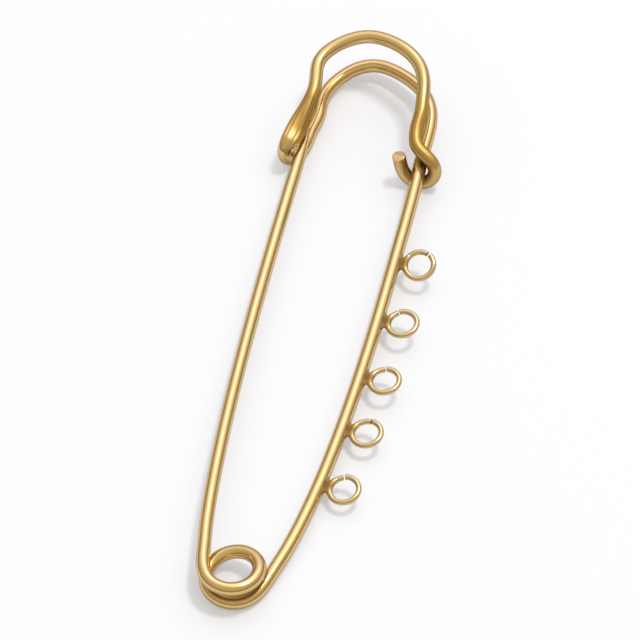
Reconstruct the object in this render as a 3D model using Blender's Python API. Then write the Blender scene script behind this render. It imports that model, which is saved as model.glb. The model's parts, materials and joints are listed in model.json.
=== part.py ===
"""Kilt-style safety pin, bent from one length of wire, with five rings for charms.

Units are metres and +Z is up. The shapes are worked out in the pin's own plane: the origin is
the centre of the spring coil, +X runs from the pin leg towards the ring bar, +Y from the coil
towards the head, and Z is zero on the centreline of the ring bar. At the end the whole pin is
laid down on the three places where its wire touches a table.
"""
import math

import bmesh
import bpy
import numpy as np
from mathutils import Matrix, Vector

# Wire
WIRE_DIAMETER = 0.0016
SEAM_GAP = 0.0001            # cut between two stretches of the wire
REST_FLAT_DEPTH = 0.0001     # how deep the wire is flattened where it lies on a table

# Spring coil
COIL_DIAMETER = 0.00615      # across the wire's centreline
COIL_GAP = 0.0009            # open space from one turn to the next
LEG_LEAD_DEG = 12.0          # how far the leg leans where it enters the coil
BAR_LEAD_DEG = 24.0          # how far the ring bar leans where it leaves the coil

# Pin leg
CATCH_DISTANCE = 0.0612      # coil centre to catch bend
LEG_SPREAD = 0.0042          # coil centre to the leg's centreline at the catch
POINT_OVERRUN = 0.0045       # how far the point reaches past the catch
TAPER_LENGTH = 0.0075
CATCH_PLAY = 0.0002          # clear space between the leg and the catch, above and below
CATCH_SIDE_PLAY = 0.0003     # clear space between the leg and the inside of the catch bend

# Ring bar and head
BAR_SPREAD = 0.00985         # coil centre to the bar's centreline at the head
HEAD_HEIGHT = 0.0159         # catch bend to the top of the hoops
HOOP_RISE = 0.0056           # upper hoop above lower hoop, centre to centre
HOOP_INSET = 0.0005          # left side of the lower hoop, inwards from the leg
HOOP_BULGE = 0.0001          # right side of the lower hoop, outwards from the bar
UPPER_HOOP_SHIFT = 0.0001    # left side of the upper hoop, outwards from the lower one
UPPER_HOOP_TUCK = 0.0006     # right side of the upper hoop, inwards from the lower one
LOWER_JAW_DEG = 55.0         # way of the catch's lower jaw, from the pin's width
UPPER_JAW_DEG = 72.0
HOOK_PLAY = 0.00025           # clear space between the bar and the hook round it

# Charm rings
RING_COUNT = 5
RING_DIAMETER = 0.004      # outside
RING_WIRE = 0.00065
RING_PITCH = 0.0082
RINGS_BELOW_CATCH = 0.0137   # catch bend to the middle of the first ring
RING_SEAT = 0.00006          # clear space between the bar and a ring's weld
RING_STAND = 0.00015         # how far the weld holds the ring off its seat
RING_SLIT = 0.0002
WELD_LENGTH = 0.0011         # along the bar
WELD_WIDTH = 0.0007          # across the ring's plane

# Fineness of the meshes
WIRE_SIDES_RESOLUTION = 4    # 12 sides
RING_SIDES_RESOLUTION = 2    # 8 sides
RING_STEPS = 26
WELD_SEGMENTS = 12
GAUGE_SIDES_RESOLUTION = 10  # 24 sides
TURN_STEP_DEG = 10.0         # wire turned from one mesh ring to the next
COIL_STEP_DEG = 15.0         # the same in the coil: 24 mesh rings a turn
STATION_STEP_DEG = 30.0      # wire turned from one station to the next, in the coil and the catch
LONGEST_STEP = 0.004
SHORTEST_STEP = 0.0002
FINE_STEP = 0.0001
MERGE_DISTANCE = 0.000001
SHARP_ANGLE_DEG = 50.0
SEAT_SEARCH_ROUNDS = 30      # halvings of the bar, to find the height of a ring
POSE_ROUNDS = 12             # tries at which places of the three feet are lowest

# Shapes, as shares of the named sizes.
# The taper: how far along it from its thick end, and the wire's radius there.
TAPER_SHARES = ((0.0, 1.0), (0.3, 0.93), (0.55, 0.77), (0.76, 0.54), (0.9, 0.32), (1.0, 0.13))
SHANK_CLEAR_SHARE = 1.1      # the shank's own points begin this far along, next to the taper
# The leg and the bar each follow a Bezier curve: its two handles as shares of CATCH_DISTANCE, its
# lean where it passes the catch, and where along it the stations lie.
LEG_HANDLE_SHARES = (0.15, 0.49)
BAR_HANDLE_SHARES = (0.2, 0.48)
LEG_LEAN_SHARE = 0.045
BAR_LEAN_SHARE = 0.02
LEG_STATION_SHARES = (1.0, 0.85, 0.7, 0.55, 0.4, 0.27, 0.16, 0.08)
BAR_STATION_SHARES = (0.07, 0.15, 0.26, 0.4, 0.55, 0.7, 0.85, 1.0)
BAR_TOP_SHARE = 0.21         # where the bar becomes the hoop, up the head's height
# The arch of each hoop, from its right side over the top to its left side: across the hoop's
# width and up the head's height, and for the upper hoop its level as a share of HOOP_RISE.
LOWER_ARCH_SHARES = (
    (1.0, 0.42), (0.985, 0.565), (0.94, 0.685), (0.855, 0.8), (0.735, 0.895), (0.57, 0.98),
    (0.4, 1.02), (0.25, 0.985), (0.13, 0.895), (0.035, 0.765), (0.0, 0.625), (0.002, 0.475),
    (-0.028, 0.34))
UPPER_ARCH_SHARES = (
    (1.0, 0.495, 0.72), (0.985, 0.63, 0.81), (0.93, 0.76, 0.9), (0.81, 0.87, 0.975),
    (0.64, 0.955, 1.0), (0.4, 0.998, 1.0), (0.22, 0.95, 0.985), (0.085, 0.865, 0.96),
    (0.0, 0.75, 0.92), (0.0, 0.61, 0.865), (0.005, 0.495, 0.82), (-0.02, 0.39, 0.775))
# The jaws of the catch, from the hoops to the bend: from the catch bend's back to the hoop's
# left side, up the head's height, and level from the lower jaw to the upper one.
LOWER_JAW_SHARES = ((0.72, 0.196),)
UPPER_JAW_SHARES = ((0.49, 0.235, 0.14), (0.74, 0.325, 0.28))
# The upper hoop's run down to the hook: in from the hoop's right side as a share of the wire,
# up the head's height, and level as a share of HOOP_RISE.
DESCENT_SHARES = ((0.02, 0.39, 0.64), (-0.1, 0.302, 0.565), (-0.1, 0.215, 0.49), (0.09, 0.143, 0.43))
# The hook round the bar: angle round it, and place along the bar as a share of the hook's radius.
HOOK_TURN_SHARES = (
    (62, 0.72), (32, 0.5), (2, 0.34), (-30, 0.22), (-62, 0.13), (-92, 0.1), (-122, 0.14))
# The hook's free end: out from the bar, along it, and level, as shares of the hook's radius.
HOOK_END_SHARES = ((-0.93, 0.23, -0.46), (-1.15, 0.37, 0.0), (-1.23, 0.47, 0.52), (-1.26, 0.51, 1.05))
# The rings were set by hand: for each, where its slit is and how wide, how far the ring tilts
# about the way out from the bar, and how far along the bar it sits off its pitch.
RING_SLIT_DEG = (60, 117, 100, 84, 108)
RING_SLIT_SHARES = (1.8, 0.6, 1.0, 0.8, 1.2)
RING_TILT_DEG = (18, 3, 1, 4, 6)
RING_DRIFT_SHARES = (0.0, -0.07, -0.1, -0.03, -0.015)

LYING_STRETCHES = ("spring_coil", "ring_bar", "catch_bend", "closing_hook")

GOLD = (0.72, 0.49, 0.19)
GOLD_ROUGHNESS = 0.18
PALE_GOLD = (0.78, 0.57, 0.27)
PALE_GOLD_ROUGHNESS = 0.22

wire_radius = WIRE_DIAMETER / 2
coil_radius = COIL_DIAMETER / 2
coil_pitch = WIRE_DIAMETER + COIL_GAP
coil_tail = WIRE_DIAMETER    # straight wire that the coil keeps at each end
hook_radius = WIRE_DIAMETER + HOOK_PLAY
catch_gap = 2 * (WIRE_DIAMETER + CATCH_PLAY)
leg_level = catch_gap / 2
catch_back = -(LEG_SPREAD + WIRE_DIAMETER + CATCH_SIDE_PLAY)
lower_left = -(LEG_SPREAD - HOOP_INSET)
lower_right = BAR_SPREAD + HOOP_BULGE
upper_left = lower_left - UPPER_HOOP_SHIFT
upper_right = lower_right - UPPER_HOOP_TUCK


def clear_scene():
    for thing in list(bpy.data.objects):
        bpy.data.objects.remove(thing, do_unlink=True)


def finish(name, colour, roughness):
    """A Principled material with the metal's colour."""
    material = bpy.data.materials.new(name)
    material.use_nodes = True
    shader = material.node_tree.nodes["Principled BSDF"]
    shader.inputs["Base Color"].default_value = (*colour, 1.0)
    shader.inputs["Metallic"].default_value = 1.0
    shader.inputs["Roughness"].default_value = roughness
    return material


def between(low, high, share):
    return low + (high - low) * share


def bezier(corners, share):
    a, b, c, d = corners
    rest = 1 - share
    return a * rest**3 + b * 3 * rest**2 * share + c * 3 * rest * share**2 + d * share**3


def coil_point(degrees, level):
    turn = math.radians(degrees)
    return np.array([coil_radius * math.cos(turn), coil_radius * math.sin(turn), level])


def coil_heading(degrees):
    turn = math.radians(degrees)
    return np.array([-math.sin(turn), math.cos(turn), 0.0])


# The leg enters the coil at its left side, on top, and the bar leaves it at its right side.
leg_angle = 180 + LEG_LEAD_DEG
bar_angle = 720 - BAR_LEAD_DEG
coil_height = coil_pitch * (bar_angle - leg_angle) / 360


def leg_stations():
    """The point, the shank and its bow, down to the coil."""
    catch = np.array([-LEG_SPREAD, CATCH_DISTANCE, leg_level])
    coil_end = coil_point(leg_angle, coil_height)
    lean = np.array([LEG_LEAN_SHARE, 1.0, 0.0])
    slope = (leg_level - coil_height) / CATCH_DISTANCE
    point = catch + POINT_OVERRUN * (lean + np.array([0.0, 0.0, slope]))
    near, far = (share * CATCH_DISTANCE for share in LEG_HANDLE_SHARES)
    corners = (coil_end, coil_end - near * coil_heading(leg_angle), catch - far * lean, catch)
    return [point] + [bezier(corners, share) for share in LEG_STATION_SHARES]


def coil_stations():
    steps = round((bar_angle - leg_angle) / STATION_STEP_DEG)
    stations = []
    for step in range(steps + 1):
        degrees = between(leg_angle, bar_angle, step / steps)
        stations.append(coil_point(degrees, coil_height * (1 - step / steps)))
    return stations


def bar_stations():
    """From the coil to the hook, with the bend close to the coil."""
    coil_end = coil_point(bar_angle, 0.0)
    top = np.array([BAR_SPREAD, CATCH_DISTANCE, 0.0])
    lean = np.array([BAR_LEAN_SHARE, 1.0, 0.0])
    near, far = (share * CATCH_DISTANCE for share in BAR_HANDLE_SHARES)
    corners = (coil_end, coil_end + near * coil_heading(bar_angle), top - far * lean, top)
    return [bezier(corners, share) for share in BAR_STATION_SHARES]


def head_point(left, right, across, up, level):
    x = between(left, right, across)
    y = CATCH_DISTANCE + HEAD_HEIGHT * up
    return np.array([x, y, level])


def lower_hoop_stations():
    top = head_point(lower_left, BAR_SPREAD, 1.0, BAR_TOP_SHARE, 0.0)
    arch = [head_point(lower_left, lower_right, across, up, 0.0) for across, up in LOWER_ARCH_SHARES]
    return [top] + arch


def catch_stations():
    """Lower jaw, half a turn of the bend, and upper jaw."""
    bend_radius = catch_gap / 2
    stations = [head_point(catch_back, lower_left, across, up, 0.0) for across, up in LOWER_JAW_SHARES]
    back = np.array([catch_back, CATCH_DISTANCE, bend_radius])
    steps = round(180 / STATION_STEP_DEG)
    for step in range(steps + 1):
        turn = math.pi * (step / steps - 0.5)
        lean = math.radians(between(LOWER_JAW_DEG, UPPER_JAW_DEG, step / steps))
        reach = 1 - math.cos(turn)
        offset = np.array([reach * math.cos(lean), reach * math.sin(lean), math.sin(turn)])
        stations.append(back + bend_radius * offset)
    for across, up, rise in UPPER_JAW_SHARES:
        level = between(catch_gap, HOOP_RISE, rise)
        stations.append(head_point(catch_back, upper_left, across, up, level))
    return stations


def upper_hoop_stations():
    arch = []
    for across, up, rise in reversed(UPPER_ARCH_SHARES):
        arch.append(head_point(upper_left, upper_right, across, up, HOOP_RISE * rise))
    return arch


def hook_stations():
    """Down across the bar, round its outer side, under it and up on the inner side."""
    stations = []
    for inward, up, rise in DESCENT_SHARES:
        level = HOOP_RISE * rise
        x = upper_right + WIRE_DIAMETER * inward
        stations.append(np.array([x, CATCH_DISTANCE + HEAD_HEIGHT * up, level]))
    for degrees, along in HOOK_TURN_SHARES:
        turn = math.radians(degrees)
        x = BAR_SPREAD + hook_radius * math.cos(turn)
        level = hook_radius * math.sin(turn)
        stations.append(np.array([x, CATCH_DISTANCE + hook_radius * along, level]))
    for out, along, rise in HOOK_END_SHARES:
        x = BAR_SPREAD + hook_radius * out
        stations.append(np.array([x, CATCH_DISTANCE + hook_radius * along, hook_radius * rise]))
    return stations


class SmoothWire:
    """A natural cubic spline through all the stations of the wire."""

    def __init__(self, stations):
        self.points = np.array(stations)
        spans = np.linalg.norm(np.diff(self.points, axis=0), axis=1)
        self.knots = np.concatenate([[0.0], np.cumsum(spans)])
        count = len(self.points)
        matrix = np.eye(count)
        target = np.zeros((count, 3))
        for i in range(1, count - 1):
            before, after = spans[i - 1], spans[i]
            matrix[i, i - 1 : i + 2] = before, 2 * (before + after), after
            rise = (self.points[i + 1] - self.points[i]) / after
            fall = (self.points[i] - self.points[i - 1]) / before
            target[i] = 6 * (rise - fall)
        self.bends = np.linalg.solve(matrix, target)

    def at(self, place):
        i = int(np.clip(np.searchsorted(self.knots, place) - 1, 0, len(self.knots) - 2))
        span = self.knots[i + 1] - self.knots[i]
        after = (place - self.knots[i]) / span
        before = 1 - after
        line = before * self.points[i] + after * self.points[i + 1]
        pull = (before**3 - before) * self.bends[i] + (after**3 - after) * self.bends[i + 1]
        return line + pull * span**2 / 6

    def run(self, start, end, turn_step=TURN_STEP_DEG):
        """Points from start to end, close together in the bends and wide apart on the straights."""
        count = math.ceil((end - start) / FINE_STEP)
        fine = np.array([self.at(place) for place in np.linspace(start, end, count + 1)])
        headings = np.diff(fine, axis=0)
        headings /= np.linalg.norm(headings, axis=1)[:, None]
        kept = [0]
        turned = 0.0
        for i in range(1, count):
            turned += math.acos(float(np.clip(headings[i] @ headings[i - 1], -1.0, 1.0)))
            length = np.linalg.norm(fine[i] - fine[kept[-1]])
            if turned > math.radians(turn_step) or length > LONGEST_STEP:
                kept.append(i)
                turned = 0.0
        if np.linalg.norm(fine[count] - fine[kept[-1]]) < SHORTEST_STEP:
            kept.pop()
        kept.append(count)
        return fine[kept]


def tube(name, points, radii, sides_resolution):
    """A closed round tube along the points, as a mesh object."""
    curve = bpy.data.curves.new(name + "_line", "CURVE")
    curve.dimensions = "3D"
    curve.bevel_depth = 1.0
    curve.bevel_resolution = sides_resolution
    curve.use_fill_caps = True
    line = curve.splines.new("POLY")
    line.points.add(len(points) - 1)
    for place, point, radius in zip(line.points, points, radii):
        place.co = (*point, 1.0)
        place.radius = radius
    guide = bpy.data.objects.new(name + "_guide", curve)
    bpy.context.collection.objects.link(guide)
    view = bpy.context.evaluated_depsgraph_get()
    mesh = bpy.data.meshes.new_from_object(guide.evaluated_get(view))
    bpy.data.objects.remove(guide, do_unlink=True)
    bpy.data.curves.remove(curve)
    mesh.name = name
    body = bmesh.new()
    body.from_mesh(mesh)
    bmesh.ops.remove_doubles(body, verts=body.verts, dist=MERGE_DISTANCE)
    bmesh.ops.recalc_face_normals(body, faces=body.faces)
    body.to_mesh(mesh)
    body.free()
    mesh.shade_smooth()
    mesh.set_sharp_from_angle(angle=math.radians(SHARP_ANGLE_DEG))
    piece = bpy.data.objects.new(name, mesh)
    bpy.context.collection.objects.link(piece)
    return piece


def helper(piece):
    """A guide or cutter: it is no part of the pin."""
    piece.hide_render = True
    piece.display_type = "WIRE"
    return piece


def boolean(piece, other, operation):
    change = piece.modifiers.new(other.name, "BOOLEAN")
    change.operation = operation
    change.object = other
    change.solver = "EXACT"


def taper_radius(distance):
    """Radius of the leg at a distance from its point."""
    share = 1 - min(distance / TAPER_LENGTH, 1.0)
    places = [place for place, _ in TAPER_SHARES]
    radii = [radius for _, radius in TAPER_SHARES]
    return wire_radius * float(np.interp(share, places, radii))


def pin_leg(points):
    """The leg, with extra rings where its point tapers."""
    direction = points[1] - points[0]
    direction /= np.linalg.norm(direction)
    taper = [points[0] + direction * TAPER_LENGTH * (1 - place) for place, _ in TAPER_SHARES]
    shank_start = TAPER_LENGTH * SHANK_CLEAR_SHARE
    shank = [point for point in points if np.linalg.norm(point - points[0]) > shank_start]
    line = list(reversed(taper)) + shank
    radii = [taper_radius(np.linalg.norm(point - points[0])) for point in line]
    return tube("pin_leg", line, radii, WIRE_SIDES_RESOLUTION)


def least_gap(points):
    """Least clear space between two turns of a wire that runs along the points."""
    fine = []
    for start, end in zip(points, points[1:]):
        count = max(1, math.ceil(np.linalg.norm(end - start) / FINE_STEP))
        fine += [between(start, end, step / count) for step in range(count)]
    fine = np.array(fine)
    lengths = np.concatenate([[0.0], np.cumsum(np.linalg.norm(np.diff(fine, axis=0), axis=1))])
    apart = np.linalg.norm(fine[:, None] - fine[None], axis=2)
    along = np.abs(lengths[:, None] - lengths[None])
    return float(apart[along > math.pi * coil_radius].min()) - WIRE_DIAMETER


def weld(name):
    """The lump of metal where a ring is welded to the bar, about its own centre."""
    mesh = bpy.data.meshes.new(name)
    lump = bmesh.new()
    bmesh.ops.create_uvsphere(lump, u_segments=WELD_SEGMENTS, v_segments=WELD_SEGMENTS // 2, radius=1.0)
    bmesh.ops.scale(lump, vec=(RING_WIRE, WELD_LENGTH / 2, WELD_WIDTH / 2), verts=lump.verts)
    lump.to_mesh(mesh)
    lump.free()
    piece = bpy.data.objects.new(name, mesh)
    bpy.context.collection.objects.link(piece)
    return piece


def charm_ring(number, wire, bar_start, bar_end, bar_gauge):
    """A slit ring of thin wire, welded edge-on to the outer side of the bar."""
    drift = RING_PITCH * RING_DRIFT_SHARES[number - 1]
    height = CATCH_DISTANCE - RINGS_BELOW_CATCH - RING_PITCH * (number - 1) + drift
    low, high = bar_start, bar_end
    for _ in range(SEAT_SEARCH_ROUNDS):
        middle = (low + high) / 2
        low, high = (middle, high) if wire.at(middle)[1] < height else (low, middle)
    seat = wire.at(low)
    heading = wire.at(low + FINE_STEP) - wire.at(low - FINE_STEP)
    lean = math.atan2(-heading[0], heading[1])
    ring_radius = (RING_DIAMETER - RING_WIRE) / 2
    half_slit = RING_SLIT * RING_SLIT_SHARES[number - 1] / ring_radius / 2
    first = math.radians(RING_SLIT_DEG[number - 1])
    points = []
    for step in range(RING_STEPS + 1):
        turn = between(first + half_slit, first + 2 * math.pi - half_slit, step / RING_STEPS)
        points.append((ring_radius * math.cos(turn), ring_radius * math.sin(turn), 0.0))
    name = f"charm_ring_{number}"
    ring = tube(name, points, [RING_WIRE / 2] * len(points), RING_SIDES_RESOLUTION)
    offset = wire_radius + RING_SEAT + RING_STAND + RING_DIAMETER / 2
    aside = Vector((math.cos(lean), math.sin(lean), 0.0))
    ring.location = Vector(seat) + aside * offset
    tilt = math.radians(RING_TILT_DEG[number - 1])
    ring.rotation_euler = (tilt, 0.0, lean)
    lump = helper(weld(name + "_weld"))
    lump.location = Vector(seat) + aside * (wire_radius + RING_SEAT)
    lump.rotation_euler = (0.0, 0.0, lean)
    boolean(ring, lump, "UNION")
    boolean(ring, bar_gauge, "DIFFERENCE")
    ring.data.materials.append(finish(name, PALE_GOLD, PALE_GOLD_ROUGHNESS))
    return [ring, lump]


def resting_pose(feet):
    """Turn the pin so that its three feet, each a run of wire, lie on one level."""
    up = np.array([0.0, 0.0, 1.0])
    for _ in range(POSE_ROUNDS):
        lowest = [run[np.argmin(run @ up)] for run in feet]
        up = np.cross(lowest[1] - lowest[0], lowest[2] - lowest[0])
        up /= np.linalg.norm(up) * (1.0 if up[2] > 0 else -1.0)
    return Vector(up).rotation_difference(Vector((0, 0, 1))).to_matrix().to_4x4()


def lay_down(pieces, feet):
    """Hang every piece on one empty, which holds the pose and the place of the whole pin."""
    turn = resting_pose(feet)
    corners = []
    for piece in pieces:
        bpy.context.view_layer.update()
        place = turn @ piece.matrix_world
        corners += [place @ vertex.co for vertex in piece.data.vertices]
    corners = np.array(corners)
    low, high = corners.min(axis=0), corners.max(axis=0)
    middle = (low + high) / 2
    bottom = min(float((run @ np.array(turn.to_3x3())[2]).min()) for run in feet) - wire_radius
    lift = Matrix.Translation((-middle[0], -middle[1], -bottom - REST_FLAT_DEPTH))
    base = bpy.data.objects.new("coil_axis", None)
    bpy.context.collection.objects.link(base)
    base.matrix_world = lift @ turn
    return base


def table_top(width):
    """A slab whose top is the table: it planes the rest flats."""
    mesh = bpy.data.meshes.new("table_top")
    slab = bmesh.new()
    bmesh.ops.create_cube(slab, size=width)
    slab.to_mesh(mesh)
    slab.free()
    piece = bpy.data.objects.new("table_top", mesh)
    piece.location = (0.0, 0.0, -width / 2)
    bpy.context.collection.objects.link(piece)
    return helper(piece)


def build():
    clear_scene()
    groups = [
        ("pin_leg", leg_stations()), ("spring_coil", coil_stations()), ("ring_bar", bar_stations()),
        ("lower_hoop", lower_hoop_stations()), ("catch_bend", catch_stations()),
        ("upper_hoop", upper_hoop_stations()), ("closing_hook", hook_stations())]
    wire = SmoothWire([station for _, stations in groups for station in stations])
    # The coil runs from its first station to its last, with a straight tail beyond each, and every
    # other cut is halfway between the last station of one stretch and the first of the next.
    firsts = np.cumsum([0] + [len(stations) for _, stations in groups])
    cuts = [wire.knots[0]]
    for (name, _), first in zip(groups[1:], firsts[1:]):
        if name == "spring_coil":
            cuts.append(wire.knots[first] - coil_tail)
        elif name == "ring_bar":
            cuts.append(wire.knots[first - 1] + coil_tail)
        else:
            cuts.append((wire.knots[first - 1] + wire.knots[first]) / 2)
    cuts.append(wire.knots[-1])
    runs = {}
    for index, (name, _) in enumerate(groups):
        start = cuts[index] + (SEAM_GAP / 2 if index > 0 else 0.0)
        end = cuts[index + 1] - (SEAM_GAP / 2 if index < len(groups) - 1 else 0.0)
        turn_step = COIL_STEP_DEG if name == "spring_coil" else TURN_STEP_DEG
        runs[name] = wire.run(start, end, turn_step)
    pieces = [pin_leg(runs["pin_leg"])]
    for name, _ in groups[1:]:
        points = runs[name]
        pieces.append(tube(name, points, [wire_radius] * len(points), WIRE_SIDES_RESOLUTION))
    for piece in pieces:
        piece.data.materials.append(finish(piece.name, GOLD, GOLD_ROUGHNESS))
    bar_start, bar_end = cuts[2], cuts[3]
    gauge_points = wire.run(bar_start, bar_end)
    gauge_radii = [wire_radius + RING_SEAT] * len(gauge_points)
    bar_gauge = helper(tube("bar_gauge", gauge_points, gauge_radii, GAUGE_SIDES_RESOLUTION))
    helpers = [bar_gauge]
    for number in range(1, RING_COUNT + 1):
        ring, lump = charm_ring(number, wire, bar_start, bar_end, bar_gauge)
        pieces.append(ring)
        helpers.append(lump)
    feet = [runs["spring_coil"], runs["catch_bend"], runs["closing_hook"]]
    base = lay_down(pieces, feet)
    for piece in pieces + helpers:
        piece.parent = base
    slab = table_top(CATCH_DISTANCE * 2)
    for piece in pieces:
        if piece.name in LYING_STRETCHES:
            boolean(piece, slab, "DIFFERENCE")
    print(f"spring_coil: least gap to itself {least_gap(runs['spring_coil']) * 1000:.2f} mm")


build()
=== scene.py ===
"""Looks of the kilt-style safety pin: one gold-toned wire, bent round, with five welded rings.

Units are metres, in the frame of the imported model. The wire's route is worked out in the pin's
own plane: the origin is the centre of the spring coil, +X runs from the pin leg to the ring bar,
+Y from the coil to the head, and Z is zero on the centreline of the ring bar.
"""
import json
import math

import bmesh
import bpy
import numpy as np
from mathutils import Matrix, Vector


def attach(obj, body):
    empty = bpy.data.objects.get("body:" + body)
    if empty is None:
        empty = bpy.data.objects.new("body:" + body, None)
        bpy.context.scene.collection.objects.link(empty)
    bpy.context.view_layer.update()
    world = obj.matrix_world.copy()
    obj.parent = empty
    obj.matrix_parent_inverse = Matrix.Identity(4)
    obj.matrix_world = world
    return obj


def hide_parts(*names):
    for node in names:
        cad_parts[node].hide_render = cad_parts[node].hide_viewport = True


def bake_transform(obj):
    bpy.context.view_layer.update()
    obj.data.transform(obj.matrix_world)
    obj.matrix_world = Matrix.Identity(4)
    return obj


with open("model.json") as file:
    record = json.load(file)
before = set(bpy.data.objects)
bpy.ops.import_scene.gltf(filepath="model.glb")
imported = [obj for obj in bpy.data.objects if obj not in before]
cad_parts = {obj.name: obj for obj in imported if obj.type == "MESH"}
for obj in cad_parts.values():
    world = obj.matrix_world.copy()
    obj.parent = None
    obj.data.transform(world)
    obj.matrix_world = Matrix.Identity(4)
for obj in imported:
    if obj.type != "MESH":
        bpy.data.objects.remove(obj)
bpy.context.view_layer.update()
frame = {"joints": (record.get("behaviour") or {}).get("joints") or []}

# Wire and its route
WIRE_DIAMETER = 0.0016
COIL_DIAMETER = 0.00615
COIL_GAP = 0.0009
LEG_LEAD_DEG = 12.0
BAR_LEAD_DEG = 24.0
CATCH_DISTANCE = 0.0612
LEG_SPREAD = 0.0042
POINT_OVERRUN = 0.0045
TAPER_LENGTH = 0.0075
CATCH_PLAY = 0.0002
CATCH_SIDE_PLAY = 0.0003
BAR_SPREAD = 0.00985
HEAD_HEIGHT = 0.0159
HOOP_RISE = 0.0056
HOOP_INSET = 0.0005
HOOP_BULGE = 0.0001
UPPER_HOOP_SHIFT = 0.0001
UPPER_HOOP_TUCK = 0.0006
LOWER_JAW_DEG = 55.0
UPPER_JAW_DEG = 72.0
HOOK_PLAY = 0.00025
TAPER_SHARES = ((0.0, 1.0), (0.3, 0.93), (0.55, 0.77), (0.76, 0.54), (0.9, 0.32), (1.0, 0.13))
LEG_HANDLE_SHARES = (0.15, 0.49)
BAR_HANDLE_SHARES = (0.2, 0.48)
LEG_LEAN_SHARE = 0.045
BAR_LEAN_SHARE = 0.02
LEG_STATION_SHARES = (1.0, 0.85, 0.7, 0.55, 0.4, 0.27, 0.16, 0.08)
BAR_STATION_SHARES = (0.07, 0.15, 0.26, 0.4, 0.55, 0.7, 0.85, 1.0)
BAR_TOP_SHARE = 0.21
LOWER_ARCH_SHARES = (
    (1.0, 0.42), (0.985, 0.565), (0.94, 0.685), (0.855, 0.8), (0.735, 0.895), (0.57, 0.98),
    (0.4, 1.02), (0.25, 0.985), (0.13, 0.895), (0.035, 0.765), (0.0, 0.625), (0.002, 0.475),
    (-0.028, 0.34))
UPPER_ARCH_SHARES = (
    (1.0, 0.495, 0.72), (0.985, 0.63, 0.81), (0.93, 0.76, 0.9), (0.81, 0.87, 0.975),
    (0.64, 0.955, 1.0), (0.4, 0.998, 1.0), (0.22, 0.95, 0.985), (0.085, 0.865, 0.96),
    (0.0, 0.75, 0.92), (0.0, 0.61, 0.865), (0.005, 0.495, 0.82), (-0.02, 0.39, 0.775))
LOWER_JAW_SHARES = ((0.72, 0.196),)
UPPER_JAW_SHARES = ((0.49, 0.235, 0.14), (0.74, 0.325, 0.28))
DESCENT_SHARES = (
    (0.02, 0.39, 0.64), (-0.1, 0.302, 0.565), (-0.1, 0.215, 0.49), (0.09, 0.143, 0.43))
HOOK_TURN_SHARES = (
    (62, 0.72), (32, 0.5), (2, 0.34), (-30, 0.22), (-62, 0.13), (-92, 0.1), (-122, 0.14))
HOOK_END_SHARES = (
    (-0.93, 0.23, -0.46), (-1.15, 0.37, 0.0), (-1.23, 0.47, 0.52), (-1.26, 0.51, 1.05))
STATION_STEP_DEG = 30.0

# Charm rings
RING_COUNT = 5
RING_DIAMETER = 0.004
RING_WIRE = 0.00065
RING_PITCH = 0.0082
RINGS_BELOW_CATCH = 0.0137
RING_SEAT = 0.00006
RING_STAND = 0.00015         # how much further off the bar the weld holds a ring
RING_SLIT = 0.0002
RING_SPRING = 0.00012        # how far the two ends of a ring stand apart across its plane
RING_SLIT_DEG = (60, 117, 100, 84, 108)
RING_SLIT_SHARES = (1.8, 0.6, 1.0, 0.8, 1.2)
RING_TILT_DEG = (18, 3, 1, 4, 6)
RING_DRIFT_SHARES = (0.0, -0.07, -0.1, -0.03, -0.015)
WELD_REACH = 0.0014          # from the middle of a weld to where its bead runs out
WELD_BLEND = 0.0008          # width over which the bead rounds off the corner
WELD_SKIN = 0.000006         # how far the bead's edge lies under the wire's surface
WELD_HEAT = (0.0005, 0.0014) # from the weld: where its heat dulled the plating, and where it didn't
BEAD_SUBDIVISIONS = 5

# Cut ends of wire
CUT_RIM = 0.00009            # radius of the rounded edge
CUT_RIM_STEPS = 8
CUT_RIDGE = 0.00016          # how far the nipped face falls away from its ridge
CUT_RIDGE_WAY = (0.3, 1.0, 0.0)     # across the ridge, seen from above
CUT_DISC_SHARES = (0.8, 0.55, 0.3, 0.1, 0.0)
CUT_DISC_STEP = 0.000001
RING_CUT_RIM = 0.00006
RING_CUT_RIM_STEPS = 4

# Upper jaw of the catch: pressed when it was bent, wider towards the leg and bowed down to it
JAW_BEND_STATIONS = 3        # the press reaches back over this many stations of the bend
JAW_HOOP_STATIONS = 1        # and on over this many of the upper hoop
JAW_WIDENING = 0.47
JAW_DROOP = 0.34
JAW_FADE = 0.52              # below 1, the press is strongest near the bend
JAW_EASE = 1.4               # above 1, it starts and ends more gently
JAW_CREASE = 0.00014         # depth of the lines that the press left along it
JAW_CREASE_PLACES = (-0.5, -0.05, 0.4)     # across the jaw, where its edges are at -1 and 1
JAW_CREASE_WIDTH = 0.15
JAW_DULL_PLACES = (-1.0, 0.1, 0.5)
JAW_DULL_AND_SHADE = (0.45, 0.65, 0.9) # how dull its plating is there; the rise towards the leg is painted shade of the crevice between jaw and leg
JAW_DULL_REACH = 0.0015      # how far beyond the pressed stretch that goes on

# Hook: dulled by the tool that bent it
HOOK_DULL_PLACES = (-0.006, 0.001, 0.005, 0.009)    # along the wire, from where it leaves the hoop
HOOK_DULL = (0.0, 0.5, 0.5, 0.15)

# Fineness of the meshes
WIRE_STEP = 0.00025
POINT_STEP = 0.00008
WIRE_SIDES = 40
RING_SIDES = 24
RING_STEPS = 96
MARCH_STEPS = 180
SHARP_ANGLE_DEG = 50.0
MERGE_DISTANCE = 0.0000001
SEARCH_STEP = 0.000001

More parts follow.
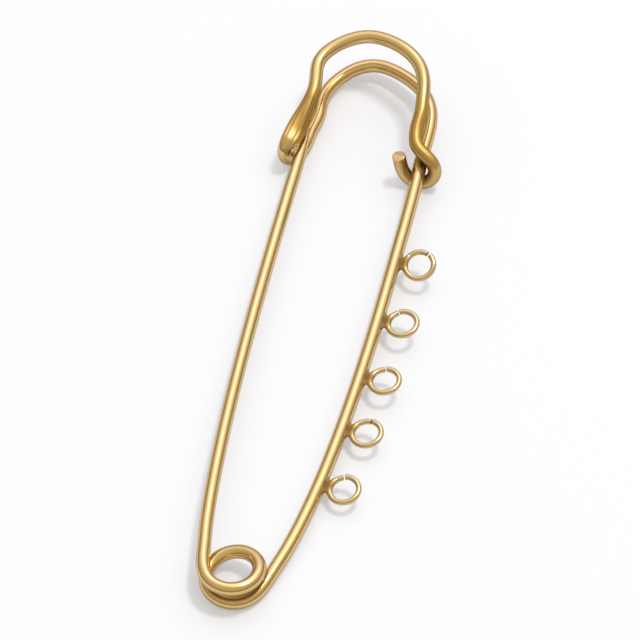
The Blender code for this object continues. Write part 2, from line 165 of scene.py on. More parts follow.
# Colours of the plating
GOLD = (0.85, 0.56, 0.16, 1.0)
DEEP_GOLD = (0.75, 0.465, 0.11, 1.0)
PALE_GOLD = (0.72, 0.54, 0.24, 1.0)
SIDE_SHADE_GOLD = (0.5, 0.31, 0.08, 1.0)      # painted shade, on the steep sides and underside of the wire
DULL_AND_SHADE_GOLD = (0.25, 0.135, 0.035, 1.0)   # where a tool or a weld dulled it; in crevices and on the jaw beside the leg it is painted shade
EDGE_TINT = (0.25, 0.16, 0.06, 1.0)
SIDE_SHADE_LEVELS = (0.55, -0.15)             # where the painted side shade begins and where it is full, by the upward part of the surface's direction
DEEP_BY_CLOUDS = 0.6
DEEP_BY_LINES = 0.3
TONE_BY_DULLNESS_AND_SHADE = 0.4
TONE_BY_STREAKS = 0.65

# Surface of the plating
WIRE_ROUGHNESS = 0.15
RING_ROUGHNESS = 0.18
ROUGH_BY_SMUDGES = 0.05
ROUGH_BY_LINES = 0.06
ROUGH_BY_DULLNESS_AND_SHADE = 0.6
LACQUER_ROUGHNESS = 0.08
LACQUER_IOR = 1.8
LACQUER_GONE = 0.55          # how dull a place is, or how deep in painted crevice shade, where the lacquer is left off
CREVICE_SHADE_DEPTH = 0.0015       # how far apart two faces can be for painted shade to darken the crevice between them
CREVICE_SHADE_OPENNESS = (0.94, 0.5)
CREVICE_SAMPLES = 8
LINES_AROUND = 7.0           # fineness of the drawing lines round the wire
LINES_ALONG = 160.0          # and along it, where they are long
LINES_DETAIL = 4.0
STREAK_COARSENING = 0.36     # streaks are the lines' pattern, made coarser
STREAK_DETAIL = 1.0
STREAK_SPREAD = (0.42, 0.58)
SMUDGE_SCALE = 260.0
SMUDGE_DETAIL = 3.0
SMUDGE_SPREAD = (0.42, 0.66)
CLOUD_SCALE = 90.0
PEEL_SCALE = 2600.0
SOFT_DETAIL = 2.0
HEIGHT_BY_LINES = 0.6
HEIGHT_BY_PEEL = 0.25
HEIGHT_BY_DULLNESS = 2.0
BUMP_STRENGTH = 0.12
BUMP_DISTANCE = 0.00002

# Camera and room
CAMERA_AZIMUTH_DEG = 10.13
CAMERA_ELEVATION_DEG = 51.13
CAMERA_ROLL_DEG = 1.0
CAMERA_DISTANCE = 0.6877
CAMERA_TARGET = (-0.00082, -0.00115, 0.004)
CAMERA_LENS = 336.5
TABLE_SIZE = 4.0
TABLE_COLOUR = (0.955, 0.955, 0.91, 1.0)
TABLE_ROUGHNESS = 0.7
TABLE_SPECULAR = 0.2
TABLE_GLOW = 0.33            # share of plain white in what the camera and the metal see of it
KEY_AZIMUTH_DEG = 138.0
KEY_ELEVATION_DEG = 71.5
KEY_DISTANCE = 1.3
KEY_SIZE = 0.2
KEY_POWER = 5.6
WALL_LIGHT = 0.3
CEILING_LIGHT = 0.62
CEILING_LEVELS = (0.1, 0.8)  # where the walls' light ends and the ceiling's is full
GLOW_LIGHT = 0.62            # a wide soft light beyond the head, with a brighter middle
GLOW_WAY = (0.02, 0.62, 0.78)
GLOW_EDGE = 0.62
CORE_LIGHT = 1.3
CORE_EDGE = 0.965
ROOM_TINT = (1.0, 0.985, 0.96, 1.0)
GLOW_TINT = (0.95, 0.96, 1.28, 1.0)

wire_radius = WIRE_DIAMETER / 2
coil_radius = COIL_DIAMETER / 2
coil_pitch = WIRE_DIAMETER + COIL_GAP
coil_tail = WIRE_DIAMETER
hook_radius = WIRE_DIAMETER + HOOK_PLAY
catch_gap = 2 * (WIRE_DIAMETER + CATCH_PLAY)
leg_level = catch_gap / 2
catch_back = -(LEG_SPREAD + WIRE_DIAMETER + CATCH_SIDE_PLAY)
lower_left = -(LEG_SPREAD - HOOP_INSET)
lower_right = BAR_SPREAD + HOOP_BULGE
upper_left = lower_left - UPPER_HOOP_SHIFT
upper_right = lower_right - UPPER_HOOP_TUCK
leg_angle = 180 + LEG_LEAD_DEG
bar_angle = 720 - BAR_LEAD_DEG
coil_height = coil_pitch * (bar_angle - leg_angle) / 360


def between(low, high, share):
    return low + (high - low) * share


def bezier(corners, share):
    a, b, c, d = corners
    rest = 1 - share
    return a * rest**3 + b * 3 * rest**2 * share + c * 3 * rest * share**2 + d * share**3


def coil_point(degrees, level):
    turn = math.radians(degrees)
    return np.array([coil_radius * math.cos(turn), coil_radius * math.sin(turn), level])


def coil_heading(degrees):
    turn = math.radians(degrees)
    return np.array([-math.sin(turn), math.cos(turn), 0.0])


def leg_stations():
    catch = np.array([-LEG_SPREAD, CATCH_DISTANCE, leg_level])
    coil_end = coil_point(leg_angle, coil_height)
    lean = np.array([LEG_LEAN_SHARE, 1.0, 0.0])
    slope = (leg_level - coil_height) / CATCH_DISTANCE
    point = catch + POINT_OVERRUN * (lean + np.array([0.0, 0.0, slope]))
    near, far = (share * CATCH_DISTANCE for share in LEG_HANDLE_SHARES)
    corners = (coil_end, coil_end - near * coil_heading(leg_angle), catch - far * lean, catch)
    return [point] + [bezier(corners, share) for share in LEG_STATION_SHARES]


def coil_stations():
    steps = round((bar_angle - leg_angle) / STATION_STEP_DEG)
    stations = []
    for step in range(steps + 1):
        degrees = between(leg_angle, bar_angle, step / steps)
        stations.append(coil_point(degrees, coil_height * (1 - step / steps)))
    return stations


def bar_stations():
    coil_end = coil_point(bar_angle, 0.0)
    top = np.array([BAR_SPREAD, CATCH_DISTANCE, 0.0])
    lean = np.array([BAR_LEAN_SHARE, 1.0, 0.0])
    near, far = (share * CATCH_DISTANCE for share in BAR_HANDLE_SHARES)
    corners = (coil_end, coil_end + near * coil_heading(bar_angle), top - far * lean, top)
    return [bezier(corners, share) for share in BAR_STATION_SHARES]


def head_point(left, right, across, up, level):
    x = between(left, right, across)
    y = CATCH_DISTANCE + HEAD_HEIGHT * up
    return np.array([x, y, level])


def lower_hoop_stations():
    stations = [head_point(lower_left, BAR_SPREAD, 1.0, BAR_TOP_SHARE, 0.0)]
    for across, up in LOWER_ARCH_SHARES:
        stations.append(head_point(lower_left, lower_right, across, up, 0.0))
    return stations


def catch_stations():
    """Lower jaw, half a turn of the bend, and upper jaw."""
    stations = []
    for across, up in LOWER_JAW_SHARES:
        stations.append(head_point(catch_back, lower_left, across, up, 0.0))
    bend_radius = catch_gap / 2
    back = np.array([catch_back, CATCH_DISTANCE, bend_radius])
    steps = round(180 / STATION_STEP_DEG)
    for step in range(steps + 1):
        turn = math.pi * (step / steps - 0.5)
        lean = math.radians(between(LOWER_JAW_DEG, UPPER_JAW_DEG, step / steps))
        reach = 1 - math.cos(turn)
        offset = np.array([reach * math.cos(lean), reach * math.sin(lean), math.sin(turn)])
        stations.append(back + bend_radius * offset)
    for across, up, rise in UPPER_JAW_SHARES:
        level = between(catch_gap, HOOP_RISE, rise)
        stations.append(head_point(catch_back, upper_left, across, up, level))
    return stations


def upper_hoop_stations():
    stations = []
    for across, up, rise in reversed(UPPER_ARCH_SHARES):
        stations.append(head_point(upper_left, upper_right, across, up, HOOP_RISE * rise))
    return stations


def hook_stations():
    """Down across the bar, round its outer side, under it and up on the inner side."""
    stations = []
    for inward, up, rise in DESCENT_SHARES:
        level = HOOP_RISE * rise
        x = upper_right + WIRE_DIAMETER * inward
        stations.append(np.array([x, CATCH_DISTANCE + HEAD_HEIGHT * up, level]))
    for degrees, along in HOOK_TURN_SHARES:
        turn = math.radians(degrees)
        x = BAR_SPREAD + hook_radius * math.cos(turn)
        level = hook_radius * math.sin(turn)
        stations.append(np.array([x, CATCH_DISTANCE + hook_radius * along, level]))
    for out, along, rise in HOOK_END_SHARES:
        x = BAR_SPREAD + hook_radius * out
        stations.append(np.array([x, CATCH_DISTANCE + hook_radius * along, hook_radius * rise]))
    return stations


class SmoothWire:
    """A natural cubic spline through all the stations of the wire."""

    def __init__(self, stations):
        self.points = np.array(stations)
        spans = np.linalg.norm(np.diff(self.points, axis=0), axis=1)
        self.knots = np.concatenate([[0.0], np.cumsum(spans)])
        count = len(self.points)
        matrix = np.eye(count)
        target = np.zeros((count, 3))
        for i in range(1, count - 1):
            before, after = spans[i - 1], spans[i]
            matrix[i, i - 1 : i + 2] = before, 2 * (before + after), after
            rise = (self.points[i + 1] - self.points[i]) / after
            fall = (self.points[i] - self.points[i - 1]) / before
            target[i] = 6 * (rise - fall)
        self.bends = np.linalg.solve(matrix, target)

    def at(self, place):
        i = int(np.clip(np.searchsorted(self.knots, place) - 1, 0, len(self.knots) - 2))
        span = self.knots[i + 1] - self.knots[i]
        after = (place - self.knots[i]) / span
        before = 1 - after
        line = before * self.points[i] + after * self.points[i + 1]
        pull = (before**3 - before) * self.bends[i] + (after**3 - after) * self.bends[i + 1]
        return line + pull * span**2 / 6


def resting_place():
    """From the pin's own plane to the table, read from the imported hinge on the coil's axis."""
    hinge = frame["joints"][0]
    up = -Vector(hinge["axis"])
    turn = Vector((0, 0, 1)).rotation_difference(up).to_matrix().to_4x4()
    return Matrix.Translation(hinge["pos_m"]) @ turn


place_on_table = resting_place()
table_turn = np.array(place_on_table.to_3x3())
table_shift = np.array(place_on_table.translation)

leg_route, coil_route, bar_route = leg_stations(), coil_stations(), bar_stations()
upper_route, hook_route = upper_hoop_stations(), hook_stations()
wire = SmoothWire(
    leg_route + coil_route + bar_route + lower_hoop_stations() + catch_stations()
    + upper_route + hook_route)
bar_first = len(leg_route) + len(coil_route)
upper_first = len(wire.knots) - len(hook_route) - len(upper_route)
leg_end = wire.knots[len(leg_route)] - coil_tail
coil_end = wire.knots[bar_first - 1] + coil_tail
bar_end = wire.knots[bar_first + len(bar_route) - 1]
jaw_start = wire.knots[upper_first - len(UPPER_JAW_SHARES) - JAW_BEND_STATIONS]
jaw_end = wire.knots[upper_first + JAW_HOOP_STATIONS]
hook_start = wire.knots[-len(hook_route)]
wire_end = wire.knots[-1]


def on_table(points):
    """Points of the pin's own plane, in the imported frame."""
    return np.asarray(points) @ table_turn.T + table_shift


class Value:
    """A socket of a node tree. Arithmetic on a number's socket adds Math nodes."""

    def __init__(self, bench, socket):
        self.bench = bench
        self.socket = socket

    def math(self, operation, other):
        return self.bench.node("ShaderNodeMath", {"operation": operation}, {0: self, 1: other})

    def __add__(self, other):
        return self.math("ADD", other)

    def __mul__(self, other):
        return self.math("MULTIPLY", other)

    __radd__ = __add__
    __rmul__ = __mul__


class Bench:
    """Adds nodes to one node tree."""

    def __init__(self, tree):
        self.tree = tree

    def node(self, kind, settings=None, inputs=None, output=0):
        made = self.tree.nodes.new(kind)
        for name, setting in (settings or {}).items():
            setattr(made, name, setting)
        for key, value in (inputs or {}).items():
            self.feed(made.inputs[key], value)
        return Value(self, made.outputs[output])

    def feed(self, socket, value):
        if isinstance(value, Value):
            self.tree.links.new(value.socket, socket)
        else:
            socket.default_value = value

    def mix(self, factor, first, second):
        """A colour between two colours."""
        inputs = {0: factor, 6: first, 7: second}
        return self.node("ShaderNodeMix", {"data_type": "RGBA"}, inputs, 2)

    def ramp(self, value, low, high):
        """0 at low and before it, 1 at high and beyond, with a smooth step between."""
        settings = {"interpolation_type": "SMOOTHSTEP"}
        return self.node("ShaderNodeMapRange", settings, {0: value, 1: low, 2: high})

    def noise(self, vector, scale, detail):
        inputs = {"Vector": vector, "Scale": scale, "Detail": detail}
        return self.node("ShaderNodeTexNoise", None, inputs)

    def scaled(self, vector, scale):
        return self.node("ShaderNodeVectorMath", {"operation": "SCALE"}, {0: vector, 3: scale})

    def attribute(self, name, output):
        """An attribute of the mesh: output 1 is a vector, output 2 a number."""
        return self.node("ShaderNodeAttribute", {"attribute_name": name}, None, output)


def drawn_wire_tree():
    """Sweeps a round wire along a line of points, which carry its thickness."""
    tree = bpy.data.node_groups.new("drawn_wire", "GeometryNodeTree")
    bench = Bench(tree)
    inputs = {"Geometry": "Geometry", "Wire Radius": "Float", "Sides": "Int",
              "Material": "Material"}
    for name, kind in inputs.items():
        tree.interface.new_socket(name, in_out="INPUT", socket_type="NodeSocket" + kind)
    tree.interface.new_socket("Geometry", in_out="OUTPUT", socket_type="NodeSocketGeometry")
    entry = tree.nodes.new("NodeGroupInput")
    given = {socket.name: Value(bench, socket) for socket in entry.outputs if socket.name}
    thickness = bench.node("GeometryNodeInputNamedAttribute", {"data_type": "FLOAT"},
                           {"Name": "thickness"})
    line = bench.node("GeometryNodeMeshToCurve", None, {"Mesh": given["Geometry"]})
    circle = bench.node("GeometryNodeCurvePrimitiveCircle", {"mode": "RADIUS"},
                        {"Resolution": given["Sides"], "Radius": given["Wire Radius"]})
    outward = bench.node("ShaderNodeVectorMath", {"operation": "NORMALIZE"},
                         {0: bench.node("GeometryNodeInputPosition")})
    marked = bench.node("GeometryNodeStoreNamedAttribute",
                        {"data_type": "FLOAT_VECTOR", "domain": "POINT"},
                        {"Geometry": circle, "Name": "around", "Value": outward})
    swept = bench.node("GeometryNodeCurveToMesh", None,
                       {"Curve": line, "Profile Curve": marked, "Scale": thickness,
                        "Fill Caps": True})
    merged = bench.node("GeometryNodeMergeByDistance", None,
                        {"Geometry": swept, "Distance": MERGE_DISTANCE})
    real = bench.node("GeometryNodeRealizeInstances", None, {"Geometry": merged})
    dressed = bench.node("GeometryNodeSetMaterial", None,
                         {"Geometry": real, "Material": given["Material"]})
    leave = tree.nodes.new("NodeGroupOutput")
    tree.links.new(dressed.socket, leave.inputs[0])
    items = tree.interface.items_tree
    return tree, {item.name: item.identifier for item in items if item.in_out == "INPUT"}


wire_tree, wire_inputs = drawn_wire_tree()


def sweep(name, points, thickness, along, radius, sides, material):
    """A plain mesh: a wire of the given radius along the points."""
    line = bpy.data.meshes.new(name + "_line")
    edges = [(i, i + 1) for i in range(len(points) - 1)]
    line.from_pydata([tuple(point) for point in points], edges, [])
    for title, values in (("thickness", thickness), ("along", along)):
        line.attributes.new(title, "FLOAT", "POINT").data.foreach_set("value", np.float32(values))
    guide = bpy.data.objects.new(name + "_guide", line)
    bpy.context.collection.objects.link(guide)
    change = guide.modifiers.new("sweep", "NODES")
    change.node_group = wire_tree
    change[wire_inputs["Wire Radius"]] = radius
    change[wire_inputs["Sides"]] = sides
    change[wire_inputs["Material"]] = material
    view = bpy.context.evaluated_depsgraph_get()
    mesh = bpy.data.meshes.new_from_object(guide.evaluated_get(view))
    bpy.data.objects.remove(guide, do_unlink=True)
    return mesh


def finished(name, mesh):
    """The mesh as a piece, with its faces outwards and its hard edges kept."""
    body = bmesh.new()
    body.from_mesh(mesh)
    bmesh.ops.recalc_face_normals(body, faces=body.faces)
    body.to_mesh(mesh)
    body.free()
    mesh.name = name
    mesh.shade_smooth()
    mesh.set_sharp_from_angle(angle=math.radians(SHARP_ANGLE_DEG))
    piece = bpy.data.objects.new(name, mesh)
    bpy.context.collection.objects.link(piece)
    return piece


def taper_share(distance):
    """Thickness of the leg at a distance from its point, rounded where the grinding starts."""
    share = 1 - np.minimum(np.asarray(distance) / TAPER_LENGTH, 1.0)
    places = [place for place, _ in TAPER_SHARES]
    shares = [thickness for _, thickness in TAPER_SHARES]
    return np.interp(share, places, shares)


def rim_share(distance, rim, radius):
    """Thickness near a cut end, whose edge is rounded by the rim."""
    inwards = 1 - np.minimum(np.asarray(distance) / rim, 1.0)
    return 1 - rim / radius * (1 - np.sqrt(np.maximum(1 - inwards**2, 0.0)))


def rim_distances(rim, steps):
    """Distances from a cut end, closer together towards it, over its rounded edge."""
    return rim * (1 - np.sin(np.linspace(0, math.pi / 2, steps + 1)[1:]))


def lay_flat(mesh):
    """Nothing of the wire lies under the table: it is rubbed flat there."""
    for vertex in mesh.vertices:
        vertex.co.z = max(vertex.co.z, 0.0)


def leg_piece(material):
    """The pin leg, from its ground point, which closes in one short step, to the coil."""
    fine = np.arange(0.0, TAPER_LENGTH, POINT_STEP)
    coarse = np.linspace(TAPER_LENGTH, leg_end, math.ceil((leg_end - TAPER_LENGTH) / WIRE_STEP))
    places = np.concatenate([fine, coarse])
    points = on_table([wire.at(place) for place in places])
    thickness = taper_share(places) * rim_share(places, POINT_STEP, POINT_STEP)
    mesh = sweep("pin_leg_wire", points, thickness, places, wire_radius, WIRE_SIDES, material)
    piece = finished("pin_leg_wire", mesh)
    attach(piece, "pin_leg")
    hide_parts("pin_leg")


def coil_piece(material):
    """The spring coil, which winds up a little when the leg is squeezed."""
    places = np.linspace(leg_end, coil_end, math.ceil((coil_end - leg_end) / WIRE_STEP))
    points = on_table([wire.at(place) for place in places])
    thickness = np.ones(len(places))
    mesh = sweep("coil_wire", points, thickness, places, wire_radius, WIRE_SIDES, material)
    lay_flat(mesh)
    piece = finished("coil_wire", mesh)
    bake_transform(piece)
    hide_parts("spring_coil")


def head_piece(material):
    """Bar, both hoops, catch and hook, up to the cut end of the wire."""
    count = math.ceil((wire_end - CUT_RIM - coil_end) / WIRE_STEP)
    run = np.linspace(coil_end, wire_end - CUT_RIM, count)
    places = np.concatenate([run, wire_end - rim_distances(CUT_RIM, CUT_RIM_STEPS)])
    points = [wire.at(place) for place in places]
    thickness = list(rim_share(wire_end - places, CUT_RIM, wire_radius))
    heading = points[-1] - points[-2]
    heading /= np.linalg.norm(heading)
    along = list(places)
    face_edge = thickness[-1]
    for share in CUT_DISC_SHARES:
        points.append(points[-1] + heading * CUT_DISC_STEP)
        thickness.append(face_edge * share)
        along.append(wire_end)
    points = on_table(points)
    mesh = sweep("head_and_bar_wire", points, thickness, along, wire_radius, WIRE_SIDES, material)
    press_jaw(mesh)
    nip_end(mesh, points[-1], table_turn @ heading)
    lay_flat(mesh)
    piece = finished("head_and_bar_wire", mesh)
    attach(piece, "bent_wire")
    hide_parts("ring_bar", "lower_hoop", "catch_bend", "upper_hoop", "closing_hook")


def press_jaw(mesh):
    """Widen the upper jaw on the leg's side, bow it down there and press creases along it.

    How dull the tool left the jaw and the hook is kept in the attribute dull. On the jaw it also
    holds painted shade, darkest towards the leg, where the crevice between jaw and leg lies.
    """
    places = np.zeros(len(mesh.vertices), np.float32)
    mesh.attributes["along"].data.foreach_get("value", places)
    dull = np.float32(np.interp(places - hook_start, HOOK_DULL_PLACES, HOOK_DULL))
    for number, (vertex, place) in enumerate(zip(mesh.vertices, places)):
        if not jaw_start < place < jaw_end + JAW_DULL_REACH:
            continue
        middle, ahead = on_table([wire.at(place), wire.at(place + POINT_STEP)])
        heading = (ahead - middle) / np.linalg.norm(ahead - middle)
        side = np.cross(heading, [0.0, 0.0, 1.0])
        side /= np.linalg.norm(side)
        rise = np.cross(side, heading)
        share = min((place - jaw_start) / (jaw_end - jaw_start), 1.0)
        press = max(math.sin(math.pi * share**JAW_FADE), 0.0) ** JAW_EASE
        offset = np.array(vertex.co) - middle
        across, above = offset @ side / wire_radius, offset @ rise / wire_radius
        reach = (across + 1) * wire_radius * press
        vertex.co += Vector(reach * (side * JAW_WIDENING - rise * JAW_DROOP))
        from_creases = [(across - line) / JAW_CREASE_WIDTH for line in JAW_CREASE_PLACES]
        creases = sum(math.exp(-distance**2) for distance in from_creases)
        vertex.co -= Vector(rise * JAW_CREASE * creases * max(above, 0.0) * press)
        fade = min(place - jaw_start, jaw_end + JAW_DULL_REACH - place) / (2 * JAW_DULL_REACH)
        # Tool dulling on the jaw, with painted shade that grows towards the leg.
        dull[number] = np.interp(across, JAW_DULL_PLACES, JAW_DULL_AND_SHADE) * min(fade, 1.0)
    mesh.attributes.new("dull", "FLOAT", "POINT").data.foreach_set("value", dull)


def nip_end(mesh, tip, heading):
    """The end was nipped off: its face falls away on both sides of a low ridge."""
    ridge = np.cross(heading, CUT_RIDGE_WAY)
    ridge /= np.linalg.norm(ridge)
    across = np.cross(heading, ridge)
    reach = 2 * CUT_RIM
    for vertex in mesh.vertices:
        offset = np.array(vertex.co) - tip
        back = -(offset @ heading)
        if np.linalg.norm(offset) < WIRE_DIAMETER and back < reach:
            fade = 1 - max(back, 0.0) / reach
            fall = CUT_RIDGE * abs(offset @ across) / wire_radius * fade
            vertex.co -= Vector(heading * fall)


def ring_seat(number):
    """Place of a ring's weld on the bar's centreline, with the bar's heading there."""
    drift = RING_PITCH * RING_DRIFT_SHARES[number - 1]
    height = CATCH_DISTANCE - RINGS_BELOW_CATCH - RING_PITCH * (number - 1) + drift
    low, high = coil_end, bar_end
    while high - low > SEARCH_STEP:
        middle = (low + high) / 2
        low, high = (middle, high) if wire.at(middle)[1] < height else (low, middle)
    heading = wire.at(low + WIRE_STEP) - wire.at(low - WIRE_STEP)
    return wire.at(low), heading / np.linalg.norm(heading)


def ring_piece(number, material):
    """A slit ring of thin wire with the bead of its weld."""
    seat, heading = ring_seat(number)
    lean = math.atan2(-heading[0], heading[1])
    aside = np.array([math.cos(lean), math.sin(lean), 0.0])
    centre = seat + aside * (wire_radius + RING_SEAT + RING_STAND + RING_DIAMETER / 2)
    tilt = math.radians(RING_TILT_DEG[number - 1])
    turn = np.array(Matrix.Rotation(lean, 3, "Z") @ Matrix.Rotation(tilt, 3, "X"))
    middle_radius = (RING_DIAMETER - RING_WIRE) / 2
    thin = RING_WIRE / 2
    half_slit = RING_SLIT * RING_SLIT_SHARES[number - 1] / middle_radius / 2
    first = math.radians(RING_SLIT_DEG[number - 1]) + half_slit
    length = middle_radius * (2 * math.pi - 2 * half_slit)
    rim = rim_distances(RING_CUT_RIM, RING_CUT_RIM_STEPS)
    run = np.linspace(RING_CUT_RIM, length - RING_CUT_RIM, RING_STEPS)
    places = np.concatenate([rim[::-1], run, length - rim])
    flat = []
    for place in places:
        angle = first + place / middle_radius
        spring = RING_SPRING * (place / length - 0.5)
        flat.append([middle_radius * math.cos(angle), middle_radius * math.sin(angle), spring])
    thickness = rim_share(np.minimum(places, length - places), RING_CUT_RIM, thin)
    points = on_table(centre + np.array(flat) @ turn.T)
    name = f"charm_ring_{number}_wire"
    mesh = sweep(name, points, thickness, places, thin, RING_SIDES, material)
    bead = weld_bead(seat, heading, aside, centre, turn)
    contact = on_table(seat + aside * wire_radius)
    piece = finished(name, joined(mesh, bead, contact, material))
    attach(piece, "bent_wire")
    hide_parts(f"charm_ring_{number}")


def weld_bead(seat, heading, aside, centre, turn):
    """The bead between a ring and the bar: a ball pushed out to where it meets both roundly."""
    ball = bmesh.new()
    bmesh.ops.create_icosphere(ball, subdivisions=BEAD_SUBDIVISIONS, radius=1.0)
    ways = np.array([vertex.co for vertex in ball.verts])
    faces = [[vertex.index for vertex in face.verts] for face in ball.faces]
    ball.free()
    middle = seat + aside * (wire_radius + RING_SEAT / 2)
    reaches = np.linspace(0.0, WELD_REACH, MARCH_STEPS)
    probes = middle + ways[:, None, :] * reaches[None, :, None]
    from_bar = probes - seat
    bar_axis = from_bar @ heading
    bar_gap = np.linalg.norm(from_bar - bar_axis[..., None] * heading, axis=2) - wire_radius
    local = (probes - centre) @ turn
    middle_radius = (RING_DIAMETER - RING_WIRE) / 2
    from_ring = np.hypot(local[..., 0], local[..., 1]) - middle_radius
    ring_gap = np.hypot(from_ring, local[..., 2]) - RING_WIRE / 2
    overlap = np.maximum(WELD_BLEND - np.abs(bar_gap - ring_gap), 0.0) / WELD_BLEND
    gap = np.minimum(bar_gap, ring_gap) - overlap**2 * WELD_BLEND / 4 + WELD_SKIN
    outside = gap > 0
    steps = np.where(outside.any(axis=1), outside.argmax(axis=1), MARCH_STEPS - 1)
    rows = np.arange(len(ways))
    before = np.maximum(steps - 1, 0)
    change = gap[rows, steps] - gap[rows, before]
    change = np.where(change == 0, 1.0, change)
    share = np.where(outside.any(axis=1), -gap[rows, before] / change, 1.0)
    reach = between(reaches[before], reaches[steps], np.clip(share, 0.0, 1.0))
    return on_table(middle + ways * reach[:, None]), faces


def joined(mesh, bead, contact, material):
    """The ring and its bead as one mesh, duller where the weld was hot."""
    ring_points = np.array([vertex.co for vertex in mesh.vertices])
    ring_faces = [list(face.vertices) for face in mesh.polygons]
    bead_points, bead_faces = bead
    points = np.concatenate([ring_points, bead_points])
    faces = ring_faces + [[index + len(ring_points) for index in face] for face in bead_faces]
    whole = bpy.data.meshes.new(mesh.name)
    whole.from_pydata([tuple(point) for point in points], [], faces)
    for name, kind, width in (("around", "FLOAT_VECTOR", 3), ("along", "FLOAT", 1)):
        values = np.zeros(len(ring_points) * width, np.float32)
        slot = "vector" if width == 3 else "value"
        mesh.attributes[name].data.foreach_get(slot, values)
        padded = np.concatenate([values, np.zeros(len(bead_points) * width, np.float32)])
        whole.attributes.new(name, kind, "POINT").data.foreach_set(slot, padded)
    distance = np.linalg.norm(points - contact, axis=1)
    dull = np.interp(distance, WELD_HEAT, (1.0, 0.0))
    whole.attributes.new("dull", "FLOAT", "POINT").data.foreach_set("value", np.float32(dull))
    whole.materials.append(material)
    return whole


def plated(name, colour, deep_colour, roughness):
    """Polished plating over drawn wire: fine lines along it, soft smudges and a thin lacquer.

    It is browner and rougher, and its lacquer is worn, where the attribute dull says so. In
    crevices the same brown is painted shade, and the lacquer is left off there too. Streaks run
    through these places.
    """
    material = bpy.data.materials.new(name)
    material.use_nodes = True
    bench = Bench(material.node_tree)
    shader = material.node_tree.nodes["Principled BSDF"]
    dull = bench.attribute("dull", 2)
    # Painted shade: the colour darkens towards dull brown in crevices, where nearby surfaces shut
    # out the light.
    openness = bench.node("ShaderNodeAmbientOcclusion",
                          {"only_local": True, "samples": CREVICE_SAMPLES},
                          {"Distance": CREVICE_SHADE_DEPTH}, 1)
    dullness_and_shade = dull.math("MAXIMUM", bench.ramp(openness, *CREVICE_SHADE_OPENNESS))

    round_wire = bench.scaled(bench.attribute("around", 1), LINES_AROUND)
    reach = bench.attribute("along", 2) * LINES_ALONG
    along_wire = bench.node("ShaderNodeCombineXYZ", None, {2: reach})
    grain = bench.node("ShaderNodeVectorMath", {"operation": "ADD"}, {0: round_wire, 1: along_wire})
    lines = bench.noise(grain, 1.0, LINES_DETAIL)
    broad = bench.noise(bench.scaled(grain, STREAK_COARSENING), 1.0, STREAK_DETAIL)
    streaks = bench.ramp(broad, *STREAK_SPREAD)

    spot = bench.node("ShaderNodeTexCoord", None, None, "Object")
    smudges = bench.ramp(bench.noise(spot, SMUDGE_SCALE, SMUDGE_DETAIL), *SMUDGE_SPREAD)
    clouds = bench.noise(spot, CLOUD_SCALE, SOFT_DETAIL)
    peel = bench.noise(spot, PEEL_SCALE, SOFT_DETAIL)

    # Painted shade: the steep sides and underside of the wire are made darker and browner, by which
    # way the surface faces.
    direction = bench.node("ShaderNodeNewGeometry", None, None, "Normal")
    upward = bench.node("ShaderNodeSeparateXYZ", None, {0: direction}, 2)
    plain = bench.mix(clouds * DEEP_BY_CLOUDS + lines * DEEP_BY_LINES, colour, deep_colour)
    shaded = bench.mix(bench.ramp(upward, *SIDE_SHADE_LEVELS), plain, SIDE_SHADE_GOLD)
    # The brown here is wear where the attribute dull says so, and painted shade in crevices.
    tone = dullness_and_shade * (streaks * TONE_BY_STREAKS + TONE_BY_DULLNESS_AND_SHADE)
    bench.feed(shader.inputs["Base Color"], bench.mix(tone, shaded, DULL_AND_SHADE_GOLD))

    wear = smudges * ROUGH_BY_SMUDGES + lines * ROUGH_BY_LINES + dullness_and_shade * ROUGH_BY_DULLNESS_AND_SHADE
    bench.feed(shader.inputs["Roughness"], roughness + wear)
    bench.feed(shader.inputs["Coat Weight"], bench.ramp(dullness_and_shade, LACQUER_GONE, 0.0))
    height = lines * HEIGHT_BY_LINES + peel * (HEIGHT_BY_PEEL + dull * HEIGHT_BY_DULLNESS)
    bump = bench.node("ShaderNodeBump", None,
                      {"Strength": BUMP_STRENGTH, "Distance": BUMP_DISTANCE, "Height": height})
    bench.feed(shader.inputs["Normal"], bump)
    shader.inputs["Metallic"].default_value = 1.0
    shader.inputs["Specular Tint"].default_value = EDGE_TINT
    shader.inputs["Coat Roughness"].default_value = LACQUER_ROUGHNESS
    shader.inputs["Coat IOR"].default_value = LACQUER_IOR
    return material


def pale_table():
    """A plain pale table, which the camera and the metal see brighter than it is lit."""
    mesh = bpy.data.meshes.new("table")
    half = TABLE_SIZE / 2
    corners = [(-half, -half, 0.0), (half, -half, 0.0), (half, half, 0.0), (-half, half, 0.0)]
    mesh.from_pydata(corners, [], [(0, 1, 2, 3)])
    material = bpy.data.materials.new("pale_table")
    material.use_nodes = True
    shader = material.node_tree.nodes["Principled BSDF"]
    shader.inputs["Base Color"].default_value = TABLE_COLOUR
    shader.inputs["Roughness"].default_value = TABLE_ROUGHNESS
    shader.inputs["Specular IOR Level"].default_value = TABLE_SPECULAR
    bench = Bench(material.node_tree)
    seen = bench.node("ShaderNodeLightPath", None, None, "Is Camera Ray")
    mirrored = bench.node("ShaderNodeLightPath", None, None, "Is Glossy Ray")
    lit = Value(bench, shader.outputs[0])
    white = bench.node("ShaderNodeEmission", None, {"Strength": 1.0})
    share = (seen + mirrored) * TABLE_GLOW
    both = bench.node("ShaderNodeMixShader", None, {0: share, 1: lit, 2: white})
    bench.feed(material.node_tree.nodes["Material Output"].inputs["Surface"], both)
    mesh.materials.append(material)
    table = bpy.data.objects.new("table", mesh)
    bpy.context.collection.objects.link(table)


def way_out(azimuth_deg, elevation_deg):
    """Unit vector from the pin into the room. Azimuth 0 is in front, beyond the coil."""
    azimuth, elevation = math.radians(azimuth_deg), math.radians(elevation_deg)
    level = math.cos(elevation)
    return Vector((math.sin(azimuth) * level, -math.cos(azimuth) * level, math.sin(elevation)))


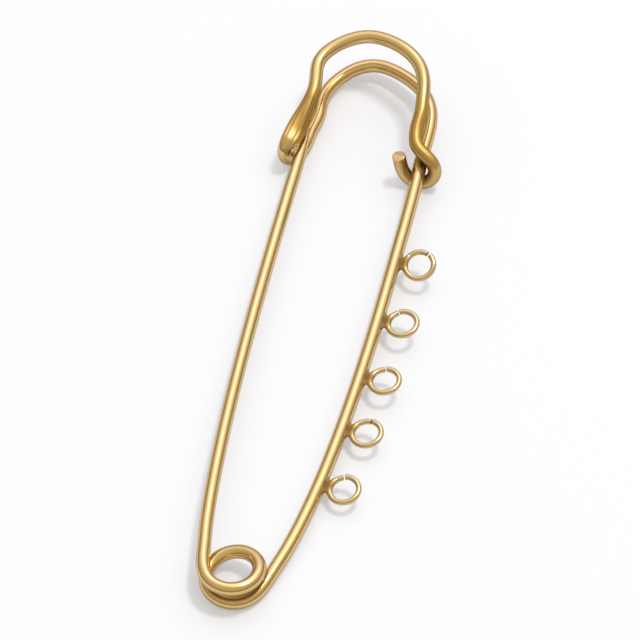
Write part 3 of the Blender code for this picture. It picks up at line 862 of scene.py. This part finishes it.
def key_lamp():
    """A square lamp that faces the pin and casts its shadows."""
    way = way_out(KEY_AZIMUTH_DEG, KEY_ELEVATION_DEG)
    data = bpy.data.lights.new("key_lamp", "AREA")
    data.size = KEY_SIZE
    data.energy = KEY_POWER
    lamp = bpy.data.objects.new("key_lamp", data)
    lamp.location = way * KEY_DISTANCE
    lamp.rotation_euler = way.to_track_quat("Z", "Y").to_euler()
    bpy.context.collection.objects.link(lamp)


def soft_room():
    """Walls, a brighter ceiling and the glow beyond the head, as light from all round."""
    world = bpy.data.worlds.new("soft_room")
    world.use_nodes = True
    background = world.node_tree.nodes["Background"]
    bench = Bench(world.node_tree)
    way = bench.node("ShaderNodeTexCoord", None, None, "Generated")
    height = bench.node("ShaderNodeSeparateXYZ", None, {0: way}, 2)
    room = bench.ramp(height, *CEILING_LEVELS) * (CEILING_LIGHT - WALL_LIGHT) + WALL_LIGHT
    inputs = {0: way, 1: GLOW_WAY}
    toward = bench.node("ShaderNodeVectorMath", {"operation": "DOT_PRODUCT"}, inputs, 1)
    glow = bench.ramp(toward, GLOW_EDGE, 1.0)
    core = bench.ramp(toward, CORE_EDGE, 1.0)
    bench.feed(background.inputs["Color"], bench.mix(glow, ROOM_TINT, GLOW_TINT))
    bench.feed(background.inputs["Strength"], room + glow * GLOW_LIGHT + core * CORE_LIGHT)
    bpy.context.scene.world = world


def camera():
    back = way_out(CAMERA_AZIMUTH_DEG, CAMERA_ELEVATION_DEG)
    data = bpy.data.cameras.new("camera")
    data.lens = CAMERA_LENS
    eye = bpy.data.objects.new("camera", data)
    eye.location = Vector(CAMERA_TARGET) + back * CAMERA_DISTANCE
    roll = Matrix.Rotation(math.radians(CAMERA_ROLL_DEG), 3, "Z").to_quaternion()
    eye.rotation_mode = "QUATERNION"
    eye.rotation_quaternion = (-back).to_track_quat("-Z", "Y") @ roll
    bpy.context.collection.objects.link(eye)
    bpy.context.scene.camera = eye


gold = plated("gold_wire", GOLD, DEEP_GOLD, WIRE_ROUGHNESS)
ring_gold = plated("ring_wire", PALE_GOLD, GOLD, RING_ROUGHNESS)
leg_piece(gold)
coil_piece(gold)
head_piece(gold)
for ring_number in range(1, RING_COUNT + 1):
    ring_piece(ring_number, ring_gold)
pale_table()
key_lamp()
soft_room()
camera()
bpy.context.scene.view_settings.view_transform = "Standard"
